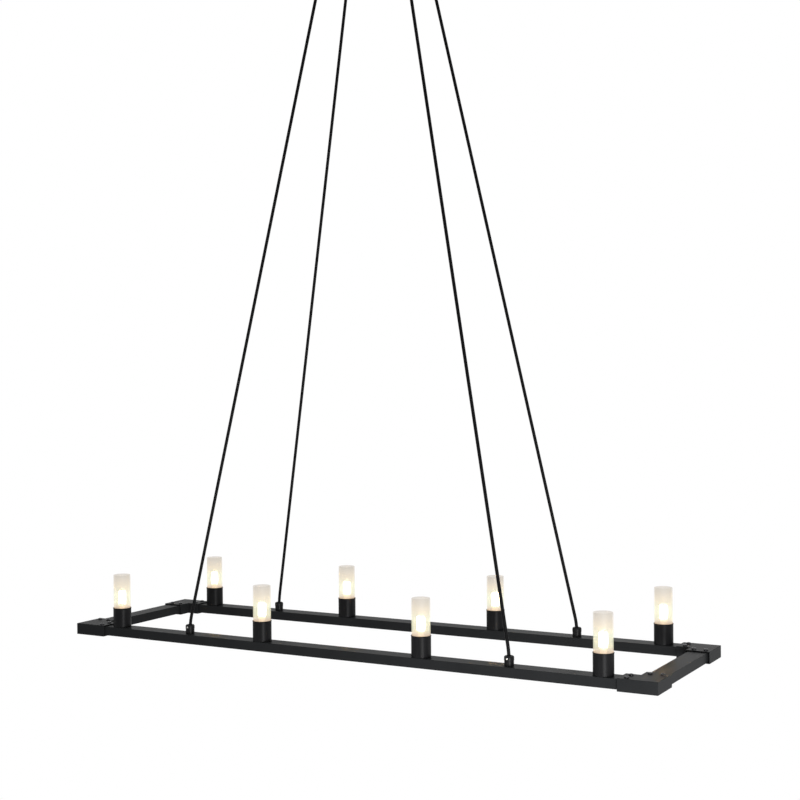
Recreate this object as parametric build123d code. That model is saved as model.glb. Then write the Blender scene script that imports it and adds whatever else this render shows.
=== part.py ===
"""Linear island pendant: a long rectangular tube frame with eight upright glass lamps, hung on four cords.

Millimetres. The origin is the middle of the ceiling bracket on the ceiling's plane, X runs along the
frame, Y across it, and +Z points up, so the whole light hangs at negative Z.
"""

from build123d import *
import math
import os

# ---- driving dimensions: the frame -------------------------------------------------------------
frame_length = 1400.0  # over the corner sleeves
frame_width = 400.0
frame_drop = 1520.0  # ceiling to the middle of the tubes

tube_width = 40.0
tube_height = 20.0
tube_wall = 1.5
tube_edge_chamfer = 0.7

sleeve_width = 50.0
sleeve_height = 25.0
sleeve_wall = 2.0
sleeve_edge_chamfer = 0.6
sleeve_leg = 80.0  # each leg, measured from the outer corner

rail_end_gap = 0.5  # between a rail's end and the side of the end tube
end_tube_clearance = 3.0  # end tube's end to the sleeve's outer face

# ---- flat sides: round pieces repeat so often that each gets only as many as it needs ------------
lamp_sides = 32  # cups and glass
gland_sides = 24
small_sides = 16  # lampholders, bulbs, necks and canopy grips
cord_sides = 12  # cords, their holes and screw heads
rod_sides = 8  # threaded rods and the holes they go through

# ---- corner screws, M5 pan heads ----------------------------------------------------------------
screw_radius = 2.5
screw_length = 12.0
screw_head_radius = 4.8
screw_head_height = 2.8
screw_head_straight = 1.3  # height of the head's edge, below its domed top
screw_head_top_radius = 2.6
screw_from_leg_end = 15.0
screw_half_spacing = 12.5
screw_hole_in_sleeve = 2.7
screw_hole_in_tube = 2.55

# ---- lamps ---------------------------------------------------------------------------------------
lamp_pitch = 390.0
lamps_per_rail = 4

cup_radius = 20.25
cup_wall = 0.75
cup_floor = 2.0
cup_height = 44.0

nipple_radius = 5.0
nipple_bore_radius = 3.25
nipple_hole_radius = 5.1
nipple_below_tube_top = 9.0
nipple_above_tube_top = 9.5

lock_nut_across_flats = 14.0
lock_nut_thickness = 4.0
lock_nut_bore_radius = 5.04

holder_base_radius = 12.0
holder_base_height = 10.0
holder_radius = 9.75
holder_height = 36.0  # above the cup's floor
holder_socket_radius = 5.06
holder_socket_depth = 8.0
pin_slot = (3.2, 1.6)
pin_slot_depth = 11.0
pin_half_spacing = 4.5

shade_radius = 19.15
shade_wall = 2.2
shade_length = 117.0

bulb_pinch = (12.5, 5.5, 14.0)
bulb_pin = (2.4, 0.9, 9.5)
bulb_radius = 9.0
bulb_neck_radius = 6.2
bulb_neck = 11.0  # heights above the bulb's seat on its holder
bulb_straight_from = 16.0
bulb_straight_to = 41.0
bulb_crown = 47.5
bulb_crown_radius = 5.0
bulb_tip = 51.0
bulb_tip_radius = 1.8

# ---- cord glands on the rails -------------------------------------------------------------------
gland_from_middle = 390.0
gland_body_radius = 9.6
gland_body_height = 10.5
gland_stub_depth = 8.0
gland_neck_radius = 6.4
gland_neck_top = 16.0
gland_nut_radius = 10.0
gland_height = 20.0
gland_nut_shoulder = 3.6
gland_nut_inner_radius = 6.5
gland_nut_end_gap = 0.2  # over the neck's end
cord_hole_radius = 3.8
cord_mouth_radius = 5.0  # at the clamp nut's top, where the cord leans out
cord_mouth_depth = 3.0
cord_seat_height = 4.0  # where the cord ends inside the gland
set_screw_radius = 2.0
set_screw_hole_radius = 2.05
set_screw_height = 14.4
set_screw_inner_end = 6.6
set_screw_outer_end = 10.25

# ---- cords ---------------------------------------------------------------------------------------
cord_diameter = 7.0
cord_bend_above_rail = 24.0
cord_bend_below_ceiling = 56.0
cord_top_below_ceiling = 30.0
bend_share = 0.45  # of the shorter run that a bend's arc takes up

# ---- canopy --------------------------------------------------------------------------------------
canopy_length = 280.0
canopy_width = 160.0
canopy_height = 28.0
canopy_wall = 1.2
canopy_corner_radius = 4.0
canopy_outlet_x = 105.0
canopy_outlet_y = 55.0

grip_radius = 9.0
grip_tip_radius = 6.0
grip_height = 16.0
grip_taper_height = 6.0
grip_stub_height = 10.0

bracket_length = 160.0
bracket_width = 24.0
bracket_thickness = 2.0
bracket_flange = 8.0
bracket_slot_spacing = 100.0
bracket_slot = (14.0, 5.2)
bracket_cable_hole_radius = 6.0

stud_spacing = 130.0
stud_radius = 2.0
stud_hole_radius = 2.02
stud_top = 0.5  # below the ceiling
stud_end = 33.5
canopy_stud_hole_radius = 2.25
cap_nut_across_flats = 7.0
cap_nut_hex_height = 4.0
cap_nut_height = 7.2
cap_nut_top_radius = 1.6
cap_nut_bore_radius = 2.04
cap_nut_bore_depth = 6.0

terminal_block = (34.0, 18.0, 13.0)
terminal_block_y = 42.0
terminal_pitch = 11.0
terminal_hole_radius = 1.9
terminal_hole_depth = 7.0
terminal_groove = (1.5, 2.0)  # width and depth between two ways

# ---- places worked out from the above -----------------------------------------------------------
tube_top = -frame_drop + tube_height / 2
rail_y = (frame_width - sleeve_width) / 2
end_tube_x = (frame_length - sleeve_width) / 2
lamp_xs = [(i - (lamps_per_rail - 1) / 2) * lamp_pitch for i in range(lamps_per_rail)]
rail_half_length = end_tube_x - tube_width / 2 - rail_end_gap
end_tube_length = frame_width - 2 * end_tube_clearance
screw_from_corner = sleeve_leg - screw_from_leg_end
canopy_floor = -canopy_height + canopy_wall
past = 1.0  # how far a cut runs out of the piece it is made in

sides = {"front": -1, "rear": 1}
ends = {"left": -1, "right": 1}


def prism(side_count, radius, low, high):
    """An upright round piece with flat sides, between two heights."""
    return Pos(0, 0, low) * extrude(RegularPolygon(radius, side_count), high - low)


def cone(side_count, wide_radius, wide_end, narrow_radius, narrow_end):
    """The same, narrower at one end, which may be the upper or the lower one."""
    height = abs(narrow_end - wide_end)
    slope = (wide_radius - narrow_radius) * math.cos(math.pi / side_count) / height
    upright = extrude(RegularPolygon(wide_radius, side_count), height, taper=math.degrees(math.atan(slope)))
    turn = 180 if narrow_end < wide_end else 0
    return Pos(0, 0, wide_end) * Rot(turn, 0, 0) * upright


def threaded_hole(radius, low, high):
    return prism(rod_sides, radius, low - past, high + past)


def hexagon_nut(across_flats, thickness, bore_radius):
    section = RegularPolygon(across_flats / 2, 6, major_radius=False)
    return extrude(section, thickness) - threaded_hole(bore_radius, 0, thickness)


def box_section(width, height, edge_chamfer):
    outline = Rectangle(width, height)
    return chamfer(outline.vertices(), edge_chamfer)


def rectangular_tube(length):
    """The 2:1 tube of the rails and the end tubes, along X, its middle at the origin."""
    section = box_section(tube_width, tube_height, tube_edge_chamfer)
    section -= Rectangle(tube_width - 2 * tube_wall, tube_height - 2 * tube_wall)
    return Pos(-length / 2, 0, 0) * extrude(Plane.YZ * section, length)


def drilled(tube, places, radius):
    """Holes through the tube's top wall, at places (x, y) on it."""
    drill = threaded_hole(radius, tube_height / 2 - tube_wall, tube_height / 2)
    return tube - [Pos(x, y, 0) * drill for x, y in places]


def rail():
    """A long tube with the holes of four lamps, two glands and the corner screws."""
    threads = [(x, 0) for x in lamp_xs] + [(x, 0) for x in (-gland_from_middle, gland_from_middle)]
    screw_x = frame_length / 2 - screw_from_corner
    screws = [(x, y) for x in (-screw_x, screw_x) for y in (-screw_half_spacing, screw_half_spacing)]
    tube = rectangular_tube(2 * rail_half_length)
    tube = drilled(tube, threads, nipple_hole_radius)
    return drilled(tube, screws, screw_hole_in_tube)


def end_tube():
    """A cross tube, made along X and turned to run along Y."""
    screw_x = frame_width / 2 - screw_from_corner
    screws = [(x, y) for x in (-screw_x, screw_x) for y in (-screw_half_spacing, screw_half_spacing)]
    tube = drilled(rectangular_tube(end_tube_length), screws, screw_hole_in_tube)
    return Rot(0, 0, 90) * tube


def screw_places():
    """The four screws of a corner, from its outer corner, with the legs along -X and -Y."""
    middle = -sleeve_width / 2
    for across in (middle - screw_half_spacing, middle + screw_half_spacing):
        yield -screw_from_corner, across
        yield across, -screw_from_corner


def corner_sleeve():
    """A mitred elbow of larger tube, open at both legs; its outer corner is over the origin."""
    middle = -sleeve_width / 2

    def elbow(section, leg):
        path = Polyline((-leg, middle), (middle, middle), (middle, -leg))
        start = Plane(origin=(-leg, middle, 0), x_dir=(0, 1, 0), z_dir=(1, 0, 0))
        return sweep(start * section, path=path, transition=Transition.RIGHT)

    outside = box_section(sleeve_width, sleeve_height, sleeve_edge_chamfer)
    inside = Rectangle(sleeve_width - 2 * sleeve_wall, sleeve_height - 2 * sleeve_wall)
    elbow_tube = elbow(outside, sleeve_leg) - elbow(inside, sleeve_leg + past)
    drill = threaded_hole(screw_hole_in_sleeve, sleeve_height / 2 - sleeve_wall, sleeve_height / 2)
    return elbow_tube - [Pos(x, y, 0) * drill for x, y in screw_places()]


def corner_screw():
    """Pan-head screw, head down on the plane z = 0."""
    shank = prism(rod_sides, screw_radius, -screw_length, 0)
    edge = prism(cord_sides, screw_head_radius, 0, screw_head_straight)
    dome = cone(
        cord_sides, screw_head_radius, screw_head_straight, screw_head_top_radius, screw_head_height
    )
    return shank + edge + dome


def lamp_cup():
    """Open cup on the rail: a floor with a hole for the nipple, and a thin wall round the glass."""
    cup = prism(lamp_sides, cup_radius, 0, cup_height)
    cup -= prism(lamp_sides, cup_radius - cup_wall, cup_floor, cup_height + past)
    return cup - threaded_hole(nipple_hole_radius, 0, cup_floor)


def lamp_nipple():
    """Threaded hollow rod that clamps cup and rail and takes the wires up to the lampholder."""
    rod = prism(rod_sides, nipple_radius, -nipple_below_tube_top, nipple_above_tube_top)
    return rod - threaded_hole(nipple_bore_radius, -nipple_below_tube_top, nipple_above_tube_top)


def lock_nut():
    """Hexagon nut under the rail's top wall."""
    nut = hexagon_nut(lock_nut_across_flats, lock_nut_thickness, lock_nut_bore_radius)
    return Pos(0, 0, -tube_wall - lock_nut_thickness) * nut


def lampholder():
    """Two-pin capsule lampholder on the cup's floor: a threaded base and a body with two pin slots."""
    base = prism(small_sides, holder_base_radius, 0, holder_base_height)
    body = prism(small_sides, holder_radius, holder_base_height, holder_height)
    socket = prism(rod_sides, holder_socket_radius, -past, holder_socket_depth)
    slot = Pos(0, 0, holder_height - pin_slot_depth / 2) * Box(*pin_slot, pin_slot_depth)
    slots = [Pos(x, 0, 0) * slot for x in (-pin_half_spacing, pin_half_spacing)]
    return Pos(0, 0, cup_floor) * (base + body - socket - slots)


def glass_shade():
    """Straight glass cylinder, open at both ends, that stands on the cup's floor."""
    top = cup_floor + shade_length
    glass = prism(lamp_sides, shade_radius, cup_floor, top)
    return glass - prism(lamp_sides, shade_radius - shade_wall, cup_floor - past, top + past)


def bulb():
    """Capsule bulb: two pins, a flat pinch, a glass capsule and its sealed tip."""
    pinch_height = bulb_pinch[2]
    pinch = Pos(0, 0, pinch_height / 2) * Box(*bulb_pinch)
    neck = cone(small_sides, bulb_radius, bulb_straight_from, bulb_neck_radius, bulb_neck)
    capsule = prism(small_sides, bulb_radius, bulb_straight_from, bulb_straight_to)
    crown = cone(small_sides, bulb_radius, bulb_straight_to, bulb_crown_radius, bulb_crown)
    tip = cone(small_sides, bulb_crown_radius, bulb_crown, bulb_tip_radius, bulb_tip)
    pin = Pos(0, 0, -bulb_pin[2] / 2) * Box(*bulb_pin)
    pins = [Pos(x, 0, 0) * pin for x in (-pin_half_spacing, pin_half_spacing)]
    seat = cup_floor + holder_height
    return Pos(0, 0, seat) * (neck + capsule + crown + tip + pinch + pins)


def cord_hole(low, high):
    return prism(cord_sides, cord_hole_radius, low, high)


def frame_gland():
    """Cord gland: a stub through the rail, a round body and the neck that the clamp nut screws on."""
    stub = prism(rod_sides, nipple_radius, -gland_stub_depth, 0)
    body = prism(gland_sides, gland_body_radius, 0, gland_body_height)
    neck = prism(small_sides, gland_neck_radius, gland_body_height, gland_neck_top)
    return stub + body + neck - cord_hole(cord_seat_height, gland_neck_top + past)


def gland_clamp_nut(outward):
    """Round-shouldered nut over the gland's neck, flared at its mouth and drilled for its set screw."""
    shoulder = gland_height - gland_nut_shoulder
    nut = prism(gland_sides, gland_nut_radius, gland_body_height, shoulder)
    nut += cone(gland_sides, gland_nut_radius, shoulder, gland_nut_radius - gland_nut_shoulder, gland_height)
    neck_room = gland_neck_top + gland_nut_end_gap
    nut -= prism(small_sides, gland_nut_inner_radius, gland_body_height - past, neck_room)
    nut -= cord_hole(gland_body_height, gland_height + past)
    mouth_foot = gland_height - cord_mouth_depth
    nut -= cone(cord_sides, cord_mouth_radius, gland_height, cord_hole_radius, mouth_foot)
    hole_ends = set_screw_inner_end - past, gland_nut_radius + past
    return nut - set_screw_rod(outward, set_screw_hole_radius, *hole_ends)


def set_screw_rod(outward, radius, inner, outer):
    """A rod across the clamp nut, on the side that faces out of the frame."""
    rod = Rot(-90 * outward, 0, 0) * prism(rod_sides, radius, inner, outer)
    return Pos(0, 0, set_screw_height) * rod


def set_screw(outward):
    return set_screw_rod(outward, set_screw_radius, set_screw_inner_end, set_screw_outer_end)


def cord_points(end, side):
    """The cord's route: up out of the gland, straight to the canopy, and up into its grip."""
    low = (end * gland_from_middle, side * rail_y)
    high = (end * canopy_outlet_x, side * canopy_outlet_y)
    return [
        Vector(*low, tube_top + cord_seat_height),
        Vector(*low, tube_top + cord_bend_above_rail),
        Vector(*high, -cord_bend_below_ceiling),
        Vector(*high, -cord_top_below_ceiling),
    ]


def cord(end, side):
    """A taut cord, swept along its runs and the arcs between them."""
    points = cord_points(end, side)
    runs = [b - a for a, b in zip(points, points[1:])]
    radii = []
    for before, after in zip(runs, runs[1:]):
        half_turn = math.radians(before.get_angle(after)) / 2
        radii.append(bend_share * min(before.length, after.length) / math.tan(half_turn))
    path = FilletPolyline(*points, radius=radii)
    section = Plane(origin=points[0], z_dir=runs[0]) * RegularPolygon(cord_diameter / 2, cord_sides)
    tube = sweep(section, path=path)
    expected = section.area * path.length
    print(
        "cord", end, side, "length", round(path.length, 1), "radii", [round(r, 1) for r in radii],
        "volume against section x length", round(tube.volume / expected, 4),
    )
    return tube


def canopy_cover():
    """Shallow box of thin sheet, open towards the ceiling, with holes for the grips and the studs."""
    outside = RectangleRounded(canopy_length, canopy_width, canopy_corner_radius)
    inside = RectangleRounded(
        canopy_length - 2 * canopy_wall, canopy_width - 2 * canopy_wall, canopy_corner_radius - canopy_wall
    )
    shell = Pos(0, 0, -canopy_height) * extrude(outside, canopy_height)
    shell -= Pos(0, 0, canopy_floor) * extrude(inside, canopy_height)
    grip_hole = threaded_hole(nipple_hole_radius, -canopy_height, canopy_floor)
    stud_hole = threaded_hole(canopy_stud_hole_radius, -canopy_height, canopy_floor)
    shell -= [Pos(x, y, 0) * grip_hole for x, y in outlets()]
    return shell - [Pos(x, 0, 0) * stud_hole for x in stud_xs()]


def outlets():
    return [(x * canopy_outlet_x, y * canopy_outlet_y) for x in (-1, 1) for y in (-1, 1)]


def stud_xs():
    return [-stud_spacing / 2, stud_spacing / 2]


def canopy_cord_grip():
    """Strain relief under the canopy: a stub through its floor and a tapered body with the cord's hole."""
    stub = prism(rod_sides, nipple_radius, 0, grip_stub_height)
    body = prism(small_sides, grip_radius, -grip_height + grip_taper_height, 0)
    nose = cone(small_sides, grip_radius, -grip_height + grip_taper_height, grip_tip_radius, -grip_height)
    hole = cord_hole(-grip_height - past, canopy_height - cord_top_below_ceiling)
    return Pos(0, 0, -canopy_height) * (stub + body + nose - hole)


def ceiling_bracket():
    """Channel-shaped crossbar screwed to the ceiling: two slots, a cable hole and two stud holes."""
    channel = Pos(0, 0, -bracket_flange / 2) * Box(bracket_length, bracket_width, bracket_flange)
    groove_width = bracket_width - 2 * bracket_thickness
    groove = Pos(0, 0, -bracket_flange / 2 - bracket_thickness)
    channel -= groove * Box(bracket_length, groove_width, bracket_flange)
    slot = extrude(SlotOverall(*bracket_slot), bracket_thickness + past, both=True)
    channel -= [Pos(x, 0, 0) * slot for x in (-bracket_slot_spacing / 2, bracket_slot_spacing / 2)]
    channel -= Cylinder(bracket_cable_hole_radius, 2 * (bracket_thickness + past))
    stud_hole = threaded_hole(stud_hole_radius, -bracket_thickness, 0)
    return channel - [Pos(x, 0, 0) * stud_hole for x in stud_xs()]


def canopy_stud():
    return prism(rod_sides, stud_radius, -stud_end, -stud_top)


def canopy_cap_nut():
    """Domed nut that holds the canopy up on a stud."""
    hexagon = extrude(RegularPolygon(cap_nut_across_flats / 2, 6, major_radius=False), -cap_nut_hex_height)
    dome_radius = cap_nut_across_flats / 2
    dome = cone(cord_sides, dome_radius, -cap_nut_hex_height, cap_nut_top_radius, -cap_nut_height)
    bore = prism(rod_sides, cap_nut_bore_radius, -cap_nut_bore_depth, past)
    return Pos(0, 0, -canopy_height) * (hexagon + dome - bore)


def terminal_strip():
    """Three-way terminal block on the canopy's floor, with a screw well at each end of each way."""
    length, width, height = terminal_block
    groove_width, groove_depth = terminal_groove
    block = Pos(0, 0, height / 2) * Box(length, width, height)
    well = prism(rod_sides, terminal_hole_radius, height - terminal_hole_depth, height + past)
    places = [(i * terminal_pitch, j * width / 4) for i in (-1, 0, 1) for j in (-1, 1)]
    block -= [Pos(x, y, 0) * well for x, y in places]
    groove = Pos(0, 0, height) * Box(groove_width, width, 2 * groove_depth)
    block -= [Pos(x, 0, 0) * groove for x in (-terminal_pitch / 2, terminal_pitch / 2)]
    return Pos(0, terminal_block_y, canopy_floor) * block


def at_corner(piece, end, side):
    """A piece made with its legs along -X and -Y, put at one corner of the frame."""
    if end < 0:
        piece = mirror(piece, about=Plane.YZ)
    if side < 0:
        piece = mirror(piece, about=Plane.XZ)
    return Pos(end * frame_length / 2, side * frame_width / 2, -frame_drop) * piece


def frame_parts(corners):
    """The four tubes, the sleeves that join them and their screws."""
    rail_tube = rail()
    cross_tube = end_tube()
    sleeve = corner_sleeve()
    screw = Pos(0, 0, sleeve_height / 2) * corner_screw()
    for side_name, side in sides.items():
        yield f"{side_name}_rail", Pos(0, side * rail_y, -frame_drop) * rail_tube
    for end_name, end in ends.items():
        yield f"{end_name}_end_tube", Pos(end * end_tube_x, 0, -frame_drop) * cross_tube
    screws = []
    for side_name, side, end_name, end in corners:
        yield f"corner_sleeve_{side_name}_{end_name}", at_corner(sleeve, end, side)
        screws += [at_corner(Pos(x, y, 0) * screw, end, side) for x, y in screw_places()]
    yield "corner_screws", Compound(screws)


def lamp_parts(corners):
    """The eight lamps, and the nipples and lock nuts that hold them and the glands on the rails."""
    makers = {
        "lamp_cup": lamp_cup(), "lampholder": lampholder(), "glass_shade": glass_shade(), "bulb": bulb(),
    }
    seats = []
    for side_name, side in sides.items():
        for i, x in enumerate(lamp_xs, 1):
            seats.append((x, side * rail_y, tube_top))
            for name, piece in makers.items():
                yield f"{name}_{side_name}_{i}", Pos(*seats[-1]) * piece
    nipple = lamp_nipple()
    nut = lock_nut()
    gland_seats = [(end * gland_from_middle, side * rail_y, tube_top) for _, side, _, end in corners]
    yield "lamp_nipples", Compound([Pos(*seat) * nipple for seat in seats])
    yield "rail_lock_nuts", Compound([Pos(*seat) * nut for seat in seats + gland_seats])


def hanging_parts(corners):
    """The glands on the rails and the four cords."""
    gland = frame_gland()
    clamp_nuts = []
    set_screws = []
    for side_name, side, end_name, end in corners:
        place = Pos(end * gland_from_middle, side * rail_y, tube_top)
        yield f"frame_gland_{side_name}_{end_name}", place * gland
        yield f"cord_{side_name}_{end_name}", cord(end, side)
        clamp_nuts.append(place * gland_clamp_nut(side))
        set_screws.append(place * set_screw(side))
    yield "gland_clamp_nuts", Compound(clamp_nuts)
    yield "gland_set_screws", Compound(set_screws)


def canopy_parts():
    """What stays on the ceiling."""
    grip = canopy_cord_grip()
    grip_nut = hexagon_nut(lock_nut_across_flats, lock_nut_thickness, lock_nut_bore_radius)
    yield "canopy_cover", canopy_cover()
    yield "canopy_cord_grips", Compound([Pos(x, y, 0) * grip for x, y in outlets()])
    yield "canopy_grip_nuts", Compound([Pos(x, y, canopy_floor) * grip_nut for x, y in outlets()])
    yield "ceiling_bracket", ceiling_bracket()
    yield "canopy_studs", Compound([Pos(x, 0, 0) * canopy_stud() for x in stud_xs()])
    yield "canopy_cap_nuts", Compound([Pos(x, 0, 0) * canopy_cap_nut() for x in stud_xs()])
    yield "terminal_block", terminal_strip()


def all_parts():
    """Every node's name and its solids."""
    corners = [(s, side, e, end) for s, side in sides.items() for e, end in ends.items()]
    yield from frame_parts(corners)
    yield from lamp_parts(corners)
    yield from hanging_parts(corners)
    yield from canopy_parts()


os.makedirs("parts", exist_ok=True)
for node, shape in all_parts():
    export_step(shape, f"parts/{node}.step")
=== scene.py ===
"""The linear island pendant, finished: painted tube frame, glowing glass lamps, cords and canopy."""

import math

import bmesh
import bpy
from mathutils import Matrix, Vector


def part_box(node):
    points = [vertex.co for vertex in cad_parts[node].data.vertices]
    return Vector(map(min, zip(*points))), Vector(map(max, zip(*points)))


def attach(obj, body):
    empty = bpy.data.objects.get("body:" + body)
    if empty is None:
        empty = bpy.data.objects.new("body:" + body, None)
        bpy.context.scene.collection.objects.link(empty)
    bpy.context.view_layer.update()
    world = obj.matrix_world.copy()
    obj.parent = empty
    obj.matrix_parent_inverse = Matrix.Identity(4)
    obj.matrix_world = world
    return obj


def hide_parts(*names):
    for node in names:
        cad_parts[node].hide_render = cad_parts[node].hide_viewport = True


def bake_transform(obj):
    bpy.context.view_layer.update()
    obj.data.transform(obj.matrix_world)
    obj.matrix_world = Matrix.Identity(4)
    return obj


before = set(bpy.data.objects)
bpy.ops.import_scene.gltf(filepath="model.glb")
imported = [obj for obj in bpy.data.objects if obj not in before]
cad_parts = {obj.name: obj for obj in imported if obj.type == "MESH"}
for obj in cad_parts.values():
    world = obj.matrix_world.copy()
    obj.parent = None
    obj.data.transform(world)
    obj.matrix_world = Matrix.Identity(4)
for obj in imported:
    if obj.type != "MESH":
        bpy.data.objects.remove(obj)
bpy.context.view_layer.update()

# ---- the camera: where the photograph was taken from ----------------------------------------------
PHOTO_WIDTH = 800
FOCAL_LENGTH = 1380.6  # in pixels of the photograph
FILM_WIDTH = 36.0
CAMERA_PLACE = Vector((1.5238, -2.6189, -0.9585))
CAMERA_YAW = 0.5118  # radians, to the left of straight across the frame
CAMERA_PITCH = 0.0118  # downwards
CAMERA_ROLL = 0.0087
CAMERA_REACH = 50.0


def place_camera():
    forward_level = Vector((-math.sin(CAMERA_YAW), math.cos(CAMERA_YAW), 0))
    right_level = Vector((math.cos(CAMERA_YAW), math.sin(CAMERA_YAW), 0))
    down = Vector((0, 0, -1))
    forward = forward_level * math.cos(CAMERA_PITCH) + down * math.sin(CAMERA_PITCH)
    low = down * math.cos(CAMERA_PITCH) - forward_level * math.sin(CAMERA_PITCH)
    right = right_level * math.cos(CAMERA_ROLL) + low * math.sin(CAMERA_ROLL)
    low = low * math.cos(CAMERA_ROLL) - right_level * math.sin(CAMERA_ROLL)
    lens = bpy.data.cameras.new("camera")
    lens.sensor_width = FILM_WIDTH
    lens.lens = FOCAL_LENGTH / PHOTO_WIDTH * FILM_WIDTH
    lens.clip_end = CAMERA_REACH
    camera = bpy.data.objects.new("camera", lens)
    turned_to = Matrix((right, -low, -forward)).transposed().to_4x4()
    camera.matrix_world = Matrix.Translation(CAMERA_PLACE) @ turned_to
    bpy.context.scene.collection.objects.link(camera)
    bpy.context.scene.camera = camera


place_camera()

# ---- sizes and places, in metres, as in the frame --------------------------------------------------
SIDES = {"front": -1, "rear": 1}
ENDS = {"left": -1, "right": 1}
LAMPS = (1, 2, 3, 4)

TUBE_TOP = -1.510
RAIL_Y = 0.175
CORD_DIAMETER = 0.007
GLAND_X = 0.390
CORD_SEAT = 0.004  # above the rail, inside the gland
CORD_BEND = 0.024  # above the rail
OUTLET_X = 0.105
OUTLET_Y = 0.055
CORD_TOP_BEND = -0.056
CORD_TOP = -0.030
STRAIGHT_FROM_BEND = 6 * CORD_DIAMETER


# ---- finishes ---------------------------------------------------------------------------------------
class Value:
    """A number that varies over a surface. Arithmetic on it adds Math nodes."""

    def __init__(self, nodes, socket):
        self.nodes = nodes
        self.socket = socket

    def math(self, operation, left, right):
        return self.nodes.node("ShaderNodeMath", {"operation": operation}, {0: left, 1: right})

    def larger(self, other):
        return self.math("MAXIMUM", self, other)

    def __add__(self, other):
        return self.math("ADD", self, other)

    __radd__ = __add__

    def __sub__(self, other):
        return self.math("SUBTRACT", self, other)

    def __rsub__(self, other):
        return self.math("SUBTRACT", other, self)

    def __mul__(self, other):
        return self.math("MULTIPLY", self, other)

    __rmul__ = __mul__

    def __truediv__(self, other):
        return self.math("DIVIDE", self, other)

    def __rtruediv__(self, other):
        return self.math("DIVIDE", other, self)


class NodeTree:
    """The nodes of a material or of the room."""

    def __init__(self, tree):
        self.tree = tree
        tree.nodes.clear()

    def fill(self, socket, value):
        if isinstance(value, Value):
            self.tree.links.new(value.socket, socket)
        elif isinstance(value, tuple) and len(value) == 3 and len(socket.default_value) == 4:
            socket.default_value = (*value, 1)
        else:
            socket.default_value = value

    def add(self, kind, settings, inputs):
        """A node of any kind: its settings first, then the values or links of its sockets."""
        node = self.tree.nodes.new(kind)
        for name, setting in settings.items():
            if name == "stops":
                self.set_stops(node.color_ramp, setting)
            else:
                setattr(node, name, setting)
        for name, value in inputs.items():
            self.fill(node.inputs[name], value)
        return node

    def node(self, kind, settings, inputs, output=0):
        """Adds a node, and gives the value of one of its outputs."""
        return Value(self, self.add(kind, settings, inputs).outputs[output])

    @staticmethod
    def set_stops(ramp, stops):
        while len(ramp.elements) > 1:
            ramp.elements.remove(ramp.elements[-1])
        for i, (position, color) in enumerate(stops):
            element = ramp.elements[0] if i == 0 else ramp.elements.new(position)
            element.position = position
            element.color = (*color, 1)


class Finish(NodeTree):
    """A material being made, round one Principled shader."""

    def __init__(self, name, **constants):
        self.material = bpy.data.materials.new(name)
        self.material.use_nodes = True
        super().__init__(self.material.node_tree)
        self.shader = self.add("ShaderNodeBsdfPrincipled", {}, {})
        self.lit = Value(self, self.shader.outputs["BSDF"])
        self.output = self.add("ShaderNodeOutputMaterial", {}, {"Surface": self.lit})
        for socket_name, value in constants.items():
            self.set(socket_name.replace("_", " "), value)

    def set(self, socket_name, value):
        self.fill(self.shader.inputs[socket_name], value)

    def here(self):
        return self.node("ShaderNodeTexCoord", {}, {}, "Object")

    def height(self):
        return self.node("ShaderNodeSeparateXYZ", {}, {"Vector": self.here()}, "Z")

    def noise(self, size, detail=2.0, roughness=0.5, where=None):
        """Even noise from 0 to 1, with lumps of about this size in metres."""
        inputs = {
            "Vector": where or self.here(), "Scale": 1 / size, "Detail": detail, "Roughness": roughness,
        }
        return self.node("ShaderNodeTexNoise", {}, inputs, "Fac")

    def ramp(self, factor, *stops):
        return self.node("ShaderNodeValToRGB", {"stops": stops}, {"Fac": factor}, "Color")

    def mix(self, factor, first, second):
        settings = {"data_type": "RGBA"}
        return self.node("ShaderNodeMix", settings, {0: factor, 6: first, 7: second}, 2)

    def scaled(self, where, amounts):
        return self.node("ShaderNodeVectorMath", {"operation": "MULTIPLY"}, {0: where, 1: amounts})

    def bump(self, height, depth):
        inputs = {"Height": height, "Distance": depth}
        self.set("Normal", self.node("ShaderNodeBump", {}, inputs, "Normal"))


def srgb(red, green, blue):
    """A colour written as it shows on a screen, 0 to 255."""

    def linear(level):
        share = level / 255
        return share / 12.92 if share <= 0.04045 else ((share + 0.055) / 1.055) ** 2.4

    return tuple(linear(level) for level in (red, green, blue))


def about(middle, spread, pattern):
    """A level that a pattern moves up and down about its middle."""
    return middle - spread + 2 * spread * pattern


def powder_coat(name, dark, light, roughness, sheen, grain=0.0009, depth=0.00003):
    """Black powder coating: a fine pebbled skin, a little lighter where it is worn or dusty."""
    finish = Finish(name, IOR=1.45, Specular_IOR_Level=sheen)
    speckle = finish.noise(grain, detail=3.0, roughness=0.6)
    cloud = finish.noise(size=0.06)
    patches = speckle * SPECKLE_SHARE + cloud * (1 - SPECKLE_SHARE)
    finish.set("Base Color", finish.mix(patches, dark, light))
    finish.set("Roughness", about(roughness, 0.06, speckle))
    finish.bump(speckle, depth)
    return finish.material


def turned_metal(name, dark, light, roughness, metallic=1.0, sheen=0.5):
    """Metal or paint on turned pieces, with faint rings from the tool."""
    finish = Finish(name, Metallic=metallic, Specular_IOR_Level=sheen)
    flattened = finish.scaled(finish.here(), (0.02, 0.02, 1.0))
    rings = finish.noise(size=0.0004, detail=1.0, where=flattened)
    dust = finish.noise(size=0.011, detail=4.0, roughness=0.6)
    finish.set("Base Color", finish.mix(dust, dark, light))
    finish.set("Roughness", about(roughness, 0.05, rings))
    finish.bump(rings, depth=0.000012)
    return finish.material


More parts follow.
